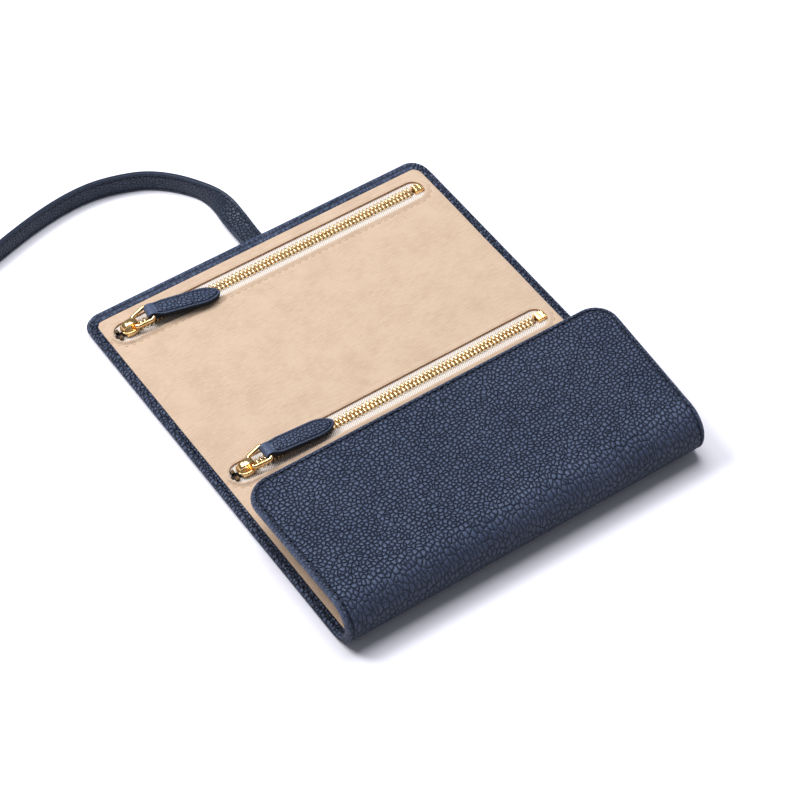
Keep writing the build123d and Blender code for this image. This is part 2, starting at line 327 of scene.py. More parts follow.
def leather_material(name, cell=(1.95, 1.75), relief=0.0014, lighten=1.0):
    """Navy full-grain leather: raised pebbles with creases between them, which are darkened with painted
    shade.

    The attribute flow holds each point's place on the unrolled sheet in millimetres, and grain
    how strong the pebbles are there: weaker on rims, in grooves and where the leather is pulled round.
    groove is how much painted shade darkens the leather: in a stitched groove, on the front fold, on a tab's
    edge, over its own dark edge paint, and over a tab's underside.
    """
    g = Surface(name)
    flow = g.attribute("flow", "Vector")
    grain = g.attribute("grain")
    groove = g.attribute("groove")
    shift = g.vector_math("ADD", g.drift(flow, 0.16, 2.0, 1.6), g.drift(flow, 1.1, 3.0, 1.0))
    spot = g.mapping(g.vector_math("ADD", flow, shift), (1 / cell[0], 1 / cell[1], 1.0), 12)
    pattern = {"Vector": spot, "Scale": 1.0, "Randomness": 0.85}
    borders = g.node("TexVoronoi", pattern, voronoi_dimensions="2D", feature="DISTANCE_TO_EDGE")
    edges = borders.outputs["Distance"]
    cells = g.node("TexVoronoi", pattern, voronoi_dimensions="2D", feature="F1").outputs
    plateau = g.range(edges, 0.0, 0.26)
    crown = g.math("SUBTRACT", 1.0, g.math("POWER", cells["Distance"], 2.0))
    dome = g.math("MULTIPLY_ADD", crown, 0.6, g.math("MULTIPLY", plateau, 0.5))
    crease = g.range(edges, 0.0, 0.19)
    fine = g.noise(flow, 2.4, 4.0, 0.6)
    wide = g.noise(flow, 0.04, 2.0)
    cell_size = g.node("SeparateColor", {0: cells["Color"]}).outputs[0]
    pebble = g.math("MULTIPLY", dome, g.math("MULTIPLY_ADD", cell_size, 0.5, 0.6))
    g.relief(g.math("ADD", g.math("MULTIPLY", pebble, grain), g.math("MULTIPLY", fine, 0.14)), relief)
    colours = (NAVY_PAINTED_SHADE, NAVY_BASE, NAVY_WORN)
    dark, base, worn = (tuple(c * lighten for c in colour) for colour in colours)
    tone = g.mix(g.range(wide, 0.3, 0.75), base, worn)
    # clear falls to 0 where painted shade darkens the leather: in the pebbles' creases, and through groove
    # in stitched grooves, on the front fold and on the tabs' edges and undersides
    clear = g.math("MULTIPLY_ADD", g.math("SUBTRACT", crease, 1.0), grain, 1.0)
    clear = g.math("MULTIPLY", clear, g.math("SUBTRACT", 1.0, groove))
    g.set("Base Color", g.mix(clear, dark, tone))
    rough = g.math("MULTIPLY_ADD", fine, 0.2, 0.30)
    g.set("Roughness", g.math("ADD", rough, g.math("MULTIPLY", g.math("SUBTRACT", 1.0, clear), 0.36)))
    g.set("Specular IOR Level", 0.4)
    g.set("Specular Tint", (0.72, 0.84, 1.0))
    return g.material


def suede_material(name):
    """Tan suede: a fine brushed nap with soft cloudy patches."""
    g = Surface(name)
    flow = g.attribute("flow", "Vector")
    cloud = g.noise(flow, 0.07, 5.0, 0.65)
    brushed = g.noise(g.mapping(flow, (0.25, 1.6, 1.0)), 0.9, 5.0, 0.65)
    nap = g.noise(flow, 2.2, 6.0, 0.8)
    shade = g.math("MULTIPLY_ADD", brushed, 0.55, g.math("MULTIPLY", cloud, 0.45))
    tone = g.mix(g.range(shade, 0.34, 0.60), SUEDE_DEEP, SUEDE_LIGHT)
    g.set("Base Color", g.mix(g.range(nap, 0.35, 0.6, 0.6, 0.0), tone, SUEDE_DEEP))
    g.set("Roughness", g.math("MULTIPLY_ADD", nap, 0.1, 0.86))
    g.relief(g.math("MULTIPLY_ADD", nap, 1.2, brushed), 0.00022)
    g.set("Specular IOR Level", 0.18)
    g.set("Sheen Weight", 0.25)
    g.set("Sheen Roughness", 0.5)
    return g.material


def raw_edge_material():
    """The cut edge of the suede round a zip slot, darker and slightly fuzzy."""
    g = Surface("suede_cut_edge")
    fuzz = g.noise(g.point(), 2200.0, 4.0, 0.7)
    g.set("Base Color", g.ramp(fuzz, 0.3, (0.26, 0.105, 0.035), 0.7, (0.48, 0.240, 0.105)))
    g.relief(fuzz, 0.00008)
    g.set("Roughness", 0.85)
    return g.material


def tape_material():
    """Off-white twill tape."""
    g = Surface("twill_tape")
    ribs = g.bands(g.mapping(g.point(), turn=50), 380.0, 1.2, "X")
    yarn = g.noise(g.point(), 4200.0, 3.0, 0.6)
    weave = g.math("MULTIPLY_ADD", yarn, 0.4, g.math("MULTIPLY", ribs, 0.6))
    g.set("Base Color", g.ramp(weave, 0.2, (0.46, 0.40, 0.36), 0.6, (0.74, 0.69, 0.65)))
    g.relief(weave, 0.0003)
    g.set("Roughness", 0.8)
    return g.material


def gold_material(name, roughness, tint):
    """Polished gold plate, slightly uneven from casting."""
    g = Surface(name)
    ripple = g.noise(g.point(), 380.0, 2.0)
    speck = g.noise(g.point(), 2600.0)
    deep = tuple(c * f for c, f in zip(tint, (0.86, 0.76, 0.62)))
    g.set("Base Color", g.mix(g.range(ripple, 0.35, 0.7), tint, deep))
    g.set("Roughness", g.math("MULTIPLY_ADD", speck, 0.12, roughness - 0.05))
    g.relief(ripple, 0.00002, 0.5)
    g.set("Metallic", 1.0)
    return g.material


def thread_material(name, dark, light):
    """Twisted sewing thread."""
    g = Surface(name)
    twist = g.bands(g.point(), 900.0, 0.6, "DIAGONAL")
    g.set("Base Color", g.ramp(twist, 0.2, dark, 0.8, light))
    g.relief(twist, 0.00006)
    g.set("Roughness", 0.6)
    return g.material


def pocket_shade_material():
    """Near-black painted shade for the inside of a pocket seen through the end of its zip."""
    g = Surface("pocket_painted_shade")
    mottled = g.noise(g.point(), 900.0, 2.0)
    g.set("Base Color", g.ramp(mottled, 0.3, (0.004, 0.003, 0.003), 0.7, (0.018, 0.012, 0.009)))
    g.set("Roughness", 0.95)
    return g.material


NAVY = leather_material("navy_leather")
NAVY_STRAP = leather_material("navy_strap_leather", cell=(1.8, 1.5), relief=0.00045, lighten=0.42)
NAVY_TAB = leather_material("navy_tab_leather", cell=(1.8, 1.5), relief=0.0007, lighten=1.05)
SUEDE = suede_material("tan_suede")
CUT_EDGE = raw_edge_material()
TAPE = tape_material()
GOLD = gold_material("polished_gold", 0.16, (0.98, 0.71, 0.36))
GOLD_TEETH = gold_material("gold_teeth", 0.30, (1.0, 0.84, 0.53))
# near-black gold for the top stops: painted shade, as they sit in shadow at the end of the slot
GOLD_PAINTED_SHADE = gold_material("gold_painted_shade", 0.5, (0.10, 0.070, 0.045))
NAVY_THREAD = thread_material("navy_thread", (0.006, 0.008, 0.018), (0.030, 0.038, 0.070))
TAN_THREAD = thread_material("tan_thread", (0.36, 0.22, 0.12), (0.56, 0.38, 0.24))
# painted shade for the pocket's inside
POCKET_PAINTED_SHADE = pocket_shade_material()
CORE = thread_material("zip_core", (0.16, 0.085, 0.030), (0.34, 0.20, 0.085))


# ---------------------------------------------------------------- leather panels
class Panel:
    """One stretch of the sheet between s_low and s_high, with rounded corners at one free edge or none."""

    def __init__(self, s_low, s_high, free=None, corner=0.0, end_border=BORDER):
        self.s_low, self.s_high, self.free, self.corner = s_low, s_high, free, corner
        self.edge = s_high if free == "high" else s_low
        self.inward = -1 if free == "high" else 1
        self.widen = end_border / BORDER        # how much wider the border is along the free edge

    def depth(self, s):
        """Distance from the free edge, or far away if there is none."""
        return abs(s - self.edge) if self.free else 1000.0

    def half_width(self, s):
        inset = self.corner - self.depth(s)
        if not self.free or inset <= 0:
            return HALF
        return HALF - self.corner + sqrt(max(0.0, self.corner ** 2 - inset ** 2))

    def distance(self, x, s):
        """How far inside the outline a point is."""
        side = HALF - abs(x)
        depth = self.depth(s) / self.widen
        if side < self.corner and depth < self.corner:
            return self.corner - hypot(self.corner - side, self.corner - depth)
        return min(side, depth)


# distances from an edge at which the sheet has points
EDGE_STEPS = [0, 0.12, 0.35, 0.7, 1.1, 1.5, 1.9, 2.2, 2.45, 2.7, 2.95, 3.2, 3.6, 4.1, 4.5, 4.9, 5.4,
              6.5, 8, 10]


def rows_of(panel, step=2.4):
    """Values of s, close together at the free edge, along the fold and at the creases."""
    low, high = panel.s_low, panel.s_high
    rows = set()
    if panel.free:
        rows.update(panel.edge + panel.inward * e * panel.widen for e in EDGE_STEPS)
    if panel.free == "high":
        high -= EDGE_STEPS[-1] * panel.widen
    if panel.free == "low":
        low += EDGE_STEPS[-1] * panel.widen
    rows.update(spaced(low, high, step))
    if 0.0 in (panel.s_low, panel.s_high):
        sign = 1 if panel.s_low == 0.0 else -1
        rows.update(sign * e for e in [0.15, 0.5, 1.0] + spaced(1.6, ARC + 2, 0.8))
    for crease in (s_of_y(MIDDLE_CREASE_Y), s_of_y(TOP_CREASE_Y)):
        if panel.s_low < crease < panel.s_high:
            rows.update(spaced(crease - 6, crease + 6, 0.6))
    return sorted(rows)


def columns():
    """Offsets from the middle line as (sign, distance from the side edge)."""
    sides = [(-1, e) for e in EDGE_STEPS]
    middle = [(0, x) for x in spaced(-HALF + EDGE_STEPS[-1] + 2.4, HALF - EDGE_STEPS[-1] - 2.4, 2.4)]
    return sides + middle + [(1, e) for e in reversed(EDGE_STEPS)]


def column_x(panel, column, s):
    sign, value = column
    half = panel.half_width(s)
    if sign:
        return sign * (half - value * half / HALF)
    return value * half / HALF


def outer_profile(d):
    """Height of the outer face above the middle surface, at distance d from the outline."""
    half = THICK / 2
    rounding = half * sqrt(max(0.0, 1 - (1 - min(d, 1.5) / 1.5) ** 2))
    groove = 0.60 * bump(d, STITCH_INSET, 0.6)
    rim = 0.16 * bump(d, 1.5, 0.9)
    return rounding - groove + rim - 0.12 * (1 - smooth_step((d - 2.2) / 2.0))


def inner_profile(d):
    """Depth of the turned border on the inner face, which ends under the lining."""
    half = THICK / 2
    rounding = half * sqrt(max(0.0, 1 - (1 - min(d, 1.7) / 1.7) ** 2))
    groove = 0.55 * bump(d, INNER_STITCH_INSET, 0.6)
    swell = 0.32 * bump(d, 1.4, 1.0) + 0.30 * bump(d, 3.5, 0.9)
    drop = (half - 0.4) * smooth_step((d - 4.35) / 0.5)
    return -(rounding - groove + swell - drop)


def grain_strength(d, s, side):
    """Pebbles fade on the rim, in the groove and where the leather is pulled round the fold."""
    pulled = 1 - 0.3 * smooth_step(1.3 - abs(s) / ARC)
    if side == "in":
        return (1.2 - 0.5 * bump(d, INNER_STITCH_INSET, 0.6)) * pulled
    strength = 0.35 + 0.65 * smooth_step((d - 0.4) / 1.6)
    return strength * (1 - 0.75 * bump(d, STITCH_INSET, 0.6)) * pulled


def flow_s(s):
    """Place along the sheet for the grain, which is drawn out round the fold."""
    reach = ARC * 1.2
    stretch = 0.42
    inside = min(abs(s), reach)
    drawn = inside - stretch * (inside - inside ** 3 / (3 * reach ** 2))
    total = drawn + max(0.0, abs(s) - reach)
    return total if s > 0 else -total


def make_shell(name, panel):
    """Leather with its edges turned in: an outer face and an inner face that share their outline."""
    rows, cols = rows_of(panel), columns()
    last_row, last_col = len(rows) - 1, len(cols) - 1
    verts, flow, grain, groove, index = [], [], [], [], {}

    def add(side, i, j, x, s, n):
        index[(side, i, j)] = len(verts)
        verts.append(place(x, s, n))
        d = panel.distance(x, s)
        inside = side == "in"
        by_far_edge = panel.depth(s) < HALF - abs(x)
        flow.append((x, flow_s(s) + (400.0 if inside else 0.0), 0.0))
        grain.append(grain_strength(d, s, side) * (0.3 if by_far_edge and inside else 1.0))
        # painted shade: darker in the stitched groove, and on the outer face round the front fold
        sewn = 0.8 * bump(d, INNER_STITCH_INSET if inside else STITCH_INSET, 0.5)
        fold_painted_shade = 0.0 if inside else FOLD_SHADE * bump(s, ARC * 0.6, ARC * 1.4)
        groove.append(max(sewn, fold_painted_shade))

    for j, s in enumerate(rows):
        on_end = bool(panel.free) and abs(s - panel.edge) < 1e-6
        for i, column in enumerate(cols):
            x = column_x(panel, column, s)
            on_outline = i in (0, last_col) or on_end
            d = 0.0 if on_outline else max(0.0, panel.distance(x, s))
            add("out", i, j, x, s, outer_profile(d))
            if on_outline:
                index[("in", i, j)] = index[("out", i, j)]
            else:
                add("in", i, j, x, s, inner_profile(d))
    faces = []
    for j in range(last_row):
        for i in range(last_col):
            for side in ("out", "in"):
                quad = [index[(side, i + a, j + b)] for a, b in QUAD]
                faces.append(quad if side == "out" else quad[::-1])
    for j, at_seam in ((0, panel.free != "low"), (last_row, panel.free != "high")):
        for i in range(last_col if at_seam else 0):
            corners = (("out", i), ("out", i + 1), ("in", i + 1), ("in", i))
            ring = list(dict.fromkeys(index[(side, k, j)] for side, k in corners))
            if len(ring) > 2:
                faces.append(ring if j else ring[::-1])
    return new_object(name, verts, faces, NAVY, flow=flow, grain=grain, groove=groove)


# ---------------------------------------------------------------- suede lining
def stadium(offset, steps=18):
    """The outline of a zip slot, grown by offset, as (x, across) about the zip's middle."""
    radius = SLOT_WIDE + offset
    straight = SLOT_HALF - SLOT_WIDE
    points = [(x, radius) for x in spaced(-straight, straight, 1.3)]
    points += [(straight + radius * sin(a), radius * cos(a)) for a in spaced(0, pi, pi / steps)[1:-1]]
    points += [(x, -radius) for x in reversed(spaced(-straight, straight, 1.3))]
    points += [(-straight - radius * sin(a), radius * cos(a))
               for a in reversed(spaced(0, pi, pi / steps)[1:-1])]
    return [(SLOT_X + x, y) for x, y in points]


def slot_distance(x, across):
    straight = SLOT_HALF - SLOT_WIDE
    return hypot(max(0.0, abs(x - SLOT_X) - straight), across) - SLOT_WIDE


def ridge(x, across, d):
    """Height of the turned edge round a slot: puffy and wrinkled near the fold and at the slider's end."""
    near = smooth_step((2.0 - across) / 4.0)
    end = smooth_step((SLOT_X - SLOT_HALF + 24.0 - x) / 18.0)
    wrinkle = sin(x * 2.3 + 2.0 * sin(x * 0.7)) * sin(across * 1.1 + x * 0.5)
    full = 0.22 + 0.20 * near + near * end * (0.50 + 0.32 * wrinkle)
    welt = bump(d, 1.1, 1.3) * full
    sewn = -0.20 * near * bump(d, STITCH_RING, 0.7) - 0.15 * near * end * bump(d, 2.4, 0.7)
    roll_down = -0.6 * near * smooth_step(1 - d / 0.6)
    return welt + sewn + roll_down


LINING_INSET = 4.35
LINING_UNDERSIDE = -1.0                 # where the lining's hidden face lies in the sandwich
STITCH_RING = 3.0                       # a sewn line this far outside the slot
SLOT_RINGS = [0, 0.2, 0.45, 0.8, 1.25, 1.7, 2.2, 2.7, 3.1, 3.5, 4.0, 4.6, 5.5]


def lining_outline(panel):
    """The lining's edge as (x, s), just under the turned border."""
    corner = max(2.0, panel.corner - LINING_INSET)
    half = HALF - LINING_INSET
    low = panel.s_low + (LINING_INSET * panel.widen if panel.free == "low" else 0)
    high = panel.s_high - (LINING_INSET * panel.widen if panel.free == "high" else 0)
    points = []

    def corner_arc(cx, cs, start):
        for a in spaced(start, start + pi / 2, pi / 16):
            points.append((cx + corner * cos(a), cs + corner * sin(a)))

    if panel.free == "low":
        corner_arc(-half + corner, low + corner, pi)
        corner_arc(half - corner, low + corner, 1.5 * pi)
    else:
        points += [(x, low) for x in spaced(-half, half, 3.0)]
    side_end = high - (corner if panel.free == "high" else 0)
    points += [(half, s) for s in spaced(points[-1][1], side_end, 2.0)[1:-1]]
    if panel.free == "high":
        corner_arc(half - corner, high - corner, 0)
        corner_arc(-half + corner, high - corner, pi / 2)
    else:
        points += [(x, high) for x in reversed(spaced(-half, half, 3.0))]
    points += [(-half, s) for s in reversed(spaced(points[0][1], points[-1][1], 2.0)[1:-1])]
    return points


def lining_points(panel, zip_s):
    """Points inside the lining: an even grid, closer round the slot and at the creases."""
    half = HALF - LINING_INSET
    xs = spaced(-half, half, 2.4)[1:-1]
    xs = sorted(set(xs + [-half + 0.5, -half + 1.1, half - 0.5, half - 1.1]))
    found = []
    for s in rows_of(panel):
        if min(s - panel.s_low, panel.s_high - s) < 0.6:
            continue
        for x in xs:
            if panel.distance(x, s) < LINING_INSET + 0.35:
                continue
            if zip_s is not None and slot_distance(x, s - zip_s) < SLOT_RINGS[-1] + 0.8:
                continue
            found.append((x, s))
    if zip_s is not None:
        for ring in SLOT_RINGS[1:]:
            for x, across in stadium(ring):
                if panel.distance(x, zip_s + across) > LINING_INSET + 0.35:
                    found.append((x, zip_s + across))
    return found


def lining_height(panel, x, s, zip_s):
    """Offset of the suede's top face: it dips under the border and swells round the slot."""
    d = panel.distance(x, s)
    n = -THICK / 2 + 0.30 * (1 - smooth_step((d - LINING_INSET) / 1.3))
    n -= 0.05 * sin(x * 0.11 + 1.0) * sin(s * 0.13)
    if zip_s is not None:
        n -= ridge(x, s - zip_s, max(0.0, slot_distance(x, s - zip_s)))
    return n


def make_lining(name, panel, zip_s=None):
    """Suede with its top face over the sheet's inner side, open round the zip's slot."""
    points = [Vector(p) for p in lining_outline(panel)]
    loops = [list(range(len(points)))]
    if zip_s is not None:
        first = len(points)
        points += [Vector((x, zip_s + a)) for x, a in stadium(0.0)]
        loops.append(list(range(first, len(points))))
    points += [Vector(p) for p in lining_points(panel, zip_s)]
    edges = [(loop[k], loop[(k + 1) % len(loop)]) for loop in loops for k in range(len(loop))]
    out, _, triangles, _, _, _ = delaunay_2d_cdt(points, edges, [], 1, 1e-4)
    kept = []
    for triangle in triangles:
        x = sum(out[k][0] for k in triangle) / 3
        s = sum(out[k][1] for k in triangle) / 3
        if zip_s is None or slot_distance(x, s - zip_s) > 0:
            kept.append(list(triangle))
    count = len(out)
    verts = [place(x, s, lining_height(panel, x, s, zip_s)) for x, s in out]
    verts += [place(x, s, LINING_UNDERSIDE) for x, s in out]
    faces = kept + [[k + count for k in reversed(t)] for t in kept]
    used = dict.fromkeys(edge for t in kept for edge in zip(t, t[1:] + t[:1]))
    faces += [[b, a, a + count, b + count] for a, b in used if (b, a) not in used]
    flow = [(x, flow_s(s), 0.0) for x, s in list(out) * 2]
    lining = new_object(name, verts, faces, SUEDE, CUT_EDGE, flow=flow)
    for polygon in lining.data.polygons[len(kept) * 2:]:
        polygon.material_index = 1
    return lining


# ---------------------------------------------------------------- stitching
# length, radius and pitch
SEAM_STITCH = (2.5, 0.26, 3.1)
SLOT_STITCH = (2.7, 0.24, 3.6)
STRAP_STITCH = (2.3, 0.22, 2.9)
TAB_STITCH = (1.6, 0.17, 2.0)


def capsule(length, radius, flat=0.75):
    """One stitch along X: a round-ended thread that dips at both ends."""
    rings, sides = 7, 8
    verts, faces = [], []
    for r in range(rings):
        t = -1 + 2 * r / (rings - 1)
        swell = sqrt(max(0.0, 1 - abs(t) ** 3)) * radius
        dip = -radius * 0.9 * t * t
        for a in (2 * pi * k / sides for k in range(sides)):
            verts.append(Vector((t * length / 2, swell * cos(a), dip + flat * swell * sin(a))))
        if r:
            faces += bridge((r - 1) * sides, r * sides, sides)
    return verts, faces


def along_polyline(points, pitch):
    """Middle points and directions, pitch apart along a line of (x, s) points."""
    lengths = [hypot(b[0] - a[0], b[1] - a[1]) for a, b in zip(points, points[1:])]
    total = sum(lengths)
    count = max(1, round(total / pitch))
    wanted = [(k + 0.5) * total / count for k in range(count)]
    done, travelled, k = [], 0.0, 0
    for target in wanted:
        while travelled + lengths[k] < target and k < len(lengths) - 1:
            travelled += lengths[k]
            k += 1
        t = (target - travelled) / lengths[k]
        a, b = points[k], points[k + 1]
        heading = ((b[0] - a[0]) / lengths[k], (b[1] - a[1]) / lengths[k])
        done.append(((a[0] + (b[0] - a[0]) * t, a[1] + (b[1] - a[1]) * t), heading))
    return done


def make_stitches(name, lines, height, sizes, material):
    """Rows of stitches on the sheet. height(x, s) gives where each one sits."""
    length, radius, pitch = sizes

    def place_stitch(x, s, dx, ds):
        n = height(x, s)
        outward = 1.0 if n > 0 else -1.0
        turn = random.uniform(-0.05, 0.05)
        dx, ds = dx * cos(turn) - ds * sin(turn), dx * sin(turn) + ds * cos(turn)
        return lambda v: place(x + v.x * dx - v.y * ds, s + v.x * ds + v.y * dx, n + outward * v.z)

    places = [place_stitch(*at, *heading) for line in lines for at, heading in along_polyline(line, pitch)]
    return copies(name, capsule(length, radius), places, material)


def inset_line(panel, inset):
    """Lines inside the panel's outline: one round the free edge, or two along the sides."""
    half = HALF - inset
    if not panel.free:
        return [[(sign * half, s) for s in spaced(panel.s_low, panel.s_high, 1.0)] for sign in (-1, 1)]
    corner = panel.corner - inset
    corner_s = panel.corner - inset * panel.widen
    start = panel.s_low if panel.free == "high" else panel.s_high
    turn_s = panel.edge + panel.inward * panel.corner
    straight = spaced(min(start, turn_s), max(start, turn_s), 1.0)
    straight = straight if start < turn_s else straight[::-1]
    points = [(-half, s) for s in straight]
    for a in spaced(0, pi / 2, pi / 24)[1:]:
        points.append((-half + corner - corner * cos(a), turn_s - panel.inward * corner_s * sin(a)))
    end_s = panel.edge + panel.inward * inset * panel.widen
    points += [(x, end_s) for x in spaced(-half + corner, half - corner, 1.0)[1:-1]]
    for a in spaced(0, pi / 2, pi / 24):
        points.append((half - corner + corner * sin(a), turn_s - panel.inward * corner_s * cos(a)))
    points += [(half, s) for s in straight[::-1][1:]]
    return [points]


def seam_stitches(name, panel, inset, profile, sign):
    """The line of stitches near the outline, on the outer face (sign 1) or the inner one (sign -1)."""
    def height(x, s):
        return profile(inset) + sign * 0.16

    return make_stitches(name, inset_line(panel, inset), height, SEAM_STITCH, NAVY_THREAD)


def slot_stitches(name, panel, zip_s):
    """The tan stitches that hold the tape, along the slot's near side and round its ends."""
    ring = [(x, zip_s + across) for x, across in stadium(STITCH_RING, 20) if across < 1.0]

    def height(x, s):
        return lining_height(panel, x, s, zip_s) - 0.05

    return make_stitches(name, [ring], height, SLOT_STITCH, TAN_THREAD)


# ---------------------------------------------------------------- the four stretches of the sheet
CREASE_REACH = 4.0
FOLD_START = place(0, ARC, 0)
FOLD_OUTER = place(0, 0, 0)
FLAP_START = place(0, -ARC, 0)


def crease_span(y):
    return metres(0, y - CREASE_REACH, THICK), metres(0, y + CREASE_REACH, THICK)


FRONT_BEND = ("middle_panel", "front_spine", FOLD_START, FOLD_OUTER)
FLAP_BEND = ("front_spine", "front_flap", FOLD_OUTER, FLAP_START)
REAR_BEND = ("middle_panel", "rear_strip", *crease_span(MIDDLE_CREASE_Y))
TOP_BEND = ("rear_strip", "top_panel", *crease_span(TOP_CREASE_Y))
REAR_LEATHER = ["rear_outer_leather", "rear_border", "rear_stiffener", "middle_pocket_back"]
# name, panel, zip, bend, the CAD nodes' first word, and the other nodes that leather and lining stand for
STRETCHES = [
    ("front_fold", Panel(0.0, FRONT_SEAM_S), None, FRONT_BEND, "spine", [], []),
    ("middle", Panel(FRONT_SEAM_S, REAR_SEAM_S), 2, REAR_BEND, "middle", REAR_LEATHER, ["rear_lining"]),
    ("top", Panel(REAR_SEAM_S, FAR_S, "high", FAR_CORNER, FAR_BORDER), 1, TOP_BEND, "top",
     ["top_pocket_back"], []),
    ("flap", Panel(FLAP_EDGE_S, 0.0, "low", FLAP_CORNER), None, FLAP_BEND, "flap", [], []),
]


def make_stretch(name, panel, zip_number, bend, node, more_leather, more_lining):
    """Leather, lining and stitching of one stretch, with their transforms baked in."""
    zip_s = None if zip_number is None else s_of_y(ZIP_Y[zip_number])
    shell = make_shell(name + "_leather", panel)
    lining = make_lining(name + "_suede", panel, zip_s)
    outer = seam_stitches(name + "_outer_stitching", panel, STITCH_INSET, outer_profile, 1)
    inner = seam_stitches(name + "_inner_stitching", panel, INNER_STITCH_INSET, inner_profile, -1)
    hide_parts(node + "_outer_leather", node + "_border", node + "_stiffener", *more_leather)
    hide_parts(node + "_lining", *more_lining)
    pieces = [(shell, "navy_leather"), (lining, "tan_suede")]
    pieces += [(thread, "navy_leather") for thread in (outer, inner)]
    if zip_s is not None:
        pieces.append((slot_stitches(name + "_slot_stitching", panel, zip_s), "tan_suede"))
    body_a, body_b, start, end = bend
    for piece, slot in pieces:
        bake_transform(piece)
        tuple(start)
        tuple(end)


# ---------------------------------------------------------------- zips
TOOTH_SIZE = (1.0, 2.75, 1.75)
TOOTH_PITCH = 2.0
TOOTH_COUNT = 75
TOOTH_OFFSET = 1.1                      # from the chain's middle to the middle of each row


def make_tooth():
    """One cast tooth, standing on the origin, its head towards +Y."""
    mesh = bmesh.new()
    bmesh.ops.create_cube(mesh, size=1.0)
    bmesh.ops.scale(mesh, vec=TOOTH_SIZE, verts=mesh.verts)
    bmesh.ops.translate(mesh, vec=(0, 0, TOOTH_SIZE[2] / 2), verts=mesh.verts)
    for v in mesh.verts:
        if v.co.z > 1:
            v.co.y *= 0.80
            v.co.x *= 0.86
    bmesh.ops.bevel(mesh, geom=list(mesh.edges), offset=0.24, segments=2, affect="EDGES", profile=0.6)
    return bmesh_parts(mesh)


def make_teeth(number, body):
    """Two rows of teeth, interleaved, where the frame has its plain ones."""
    low, _ = box_mm(f"zip_{number}_teeth")

    def place_tooth(side, k):
        x = low[0] + 0.43 + (TOOTH_PITCH / 2 if side > 0 else 0) + k * TOOTH_PITCH
        y = ZIP_Y[number] + side * TOOTH_OFFSET
        lean = random.uniform(-0.03, 0.03)
        return lambda v: metres(x + v.x + lean * v.z, y + side * v.y, low[2] + v.z)

    places = [place_tooth(side, k) for side in (-1, 1) for k in range(TOOTH_COUNT)]
    teeth = copies(f"zip_{number}_teeth_cast", make_tooth(), places, GOLD_TEETH)
    settle(teeth, body, "gold_metal", f"zip_{number}_teeth")


def make_core(number, body):
    """The beaded inner edges of the two tapes, seen as a brown line between the teeth."""
    low, high = box_mm(f"zip_{number}_teeth")
    y = ZIP_Y[number]
    rings = []
    for half, z in ((1.7, low[2] - 0.1), (1.7, low[2] + 0.55), (1.3, low[2] + 0.8)):
        rings.append([metres(low[0] - 1.5, y - half, z), metres(high[0] + 1.0, y - half, z),
                      metres(high[0] + 1.0, y + half, z), metres(low[0] - 1.5, y + half, z)])
    settle(stacked_rings(f"zip_{number}_core", rings, CORE), body, "zip_tape")


def make_bottom_stop(number, body):
    """The ribbed metal box at the end of the chain."""
    low, high = box_mm(f"zip_{number}_bottom_stop")
    centre = metres(*((a + b) / 2 for a, b in zip(low, high)))
    size = metres(*(b - a for a, b in zip(low, high)))
    mesh = bmesh.new()
    bmesh.ops.create_grid(mesh, x_segments=22, y_segments=12, size=0.5)
    for v in mesh.verts:
        v.co.z = 0.5 - 0.20 * (1 - abs(cos(v.co.x * pi * 4)))
    extruded = bmesh.ops.extrude_face_region(mesh, geom=mesh.faces[:])
    for v in [e for e in extruded["geom"] if isinstance(e, bmesh.types.BMVert)]:
        v.co.z = -0.5
    for v in mesh.verts:
        taper = 0.86 if v.co.z > 0 else 1.0
        v.co = centre + Vector((v.co.x * size.x * taper, v.co.y * size.y * taper, v.co.z * size.z))
    bmesh.ops.recalc_face_normals(mesh, faces=mesh.faces)
    mesh.verts.index_update()
    stop = new_object(f"zip_{number}_ribbed_stop", *bmesh_parts(mesh), GOLD, solid=False)
    bevel = stop.modifiers.new("rounding", "BEVEL")
    bevel.width = 0.25 * MM
    bevel.segments = 2
    bevel.limit_method = "ANGLE"
    bevel.angle_limit = radians(50)
    settle(stop, body, "gold_metal", f"zip_{number}_bottom_stop")


SLIDER_HALF_LENGTH = 4.5
SLIDER_HALF_WIDTH = 3.6
CROWN_HALF_LENGTH = 4.2
CROWN_HEIGHT = 3.6
CROWN_WIDTH = 3.6
CROWN_THICK = 0.9
CROWN_SUNK = 0.25                       # how deep its feet reach into the plate
FLANGE_INNER = 2.75                     # from the slider's middle line to its rolled sides
WIRE_RADIUS = 1.0
BAIL_PIVOT_HALF = 2.9
BAIL_BAR_HALF = 4.5
BAIL_CORNER = 1.7
# the plate's profile as (inset from its outline, depth below its top), up its side and over its dished top
PLATE_PROFILE = [(0.35, 1.0), (0.06, 0.8), (0.0, 0.55), (0.1, 0.3), (0.35, 0.04), (0.65, 0.0), (0.95, 0.08),
                 (1.2, 0.38), (1.9, 0.42)]


def signed_power(value, power):
    return abs(value) ** power * (1 if value > 0 else -1)


def oval(length, width, power=2.7, count=48):
    """The outline of a slider's plate: an oval with flattened sides."""
    return [(length * signed_power(cos(a), 2 / power), width * signed_power(sin(a), 2 / power))
            for a in spaced(0, 2 * pi, 2 * pi / count)[:-1]]


def tube(name, points, radius, material, sides=14):
    """A round wire through a closed loop of points."""
    verts, faces = [], []
    for k, point in enumerate(points):
        ahead = (points[(k + 1) % len(points)] - points[k - 1]).normalized()
        up = (Vector((0, 0, 1)) - ahead * ahead.z).normalized()
        side = ahead.cross(up)
        for a in spaced(0, 2 * pi, 2 * pi / sides)[:-1]:
            verts.append(metres(*(point + (side * cos(a) + up * sin(a)) * radius)))
        faces += bridge(k * sides, (k + 1) % len(points) * sides, sides)
    return new_object(name, verts, faces, material)


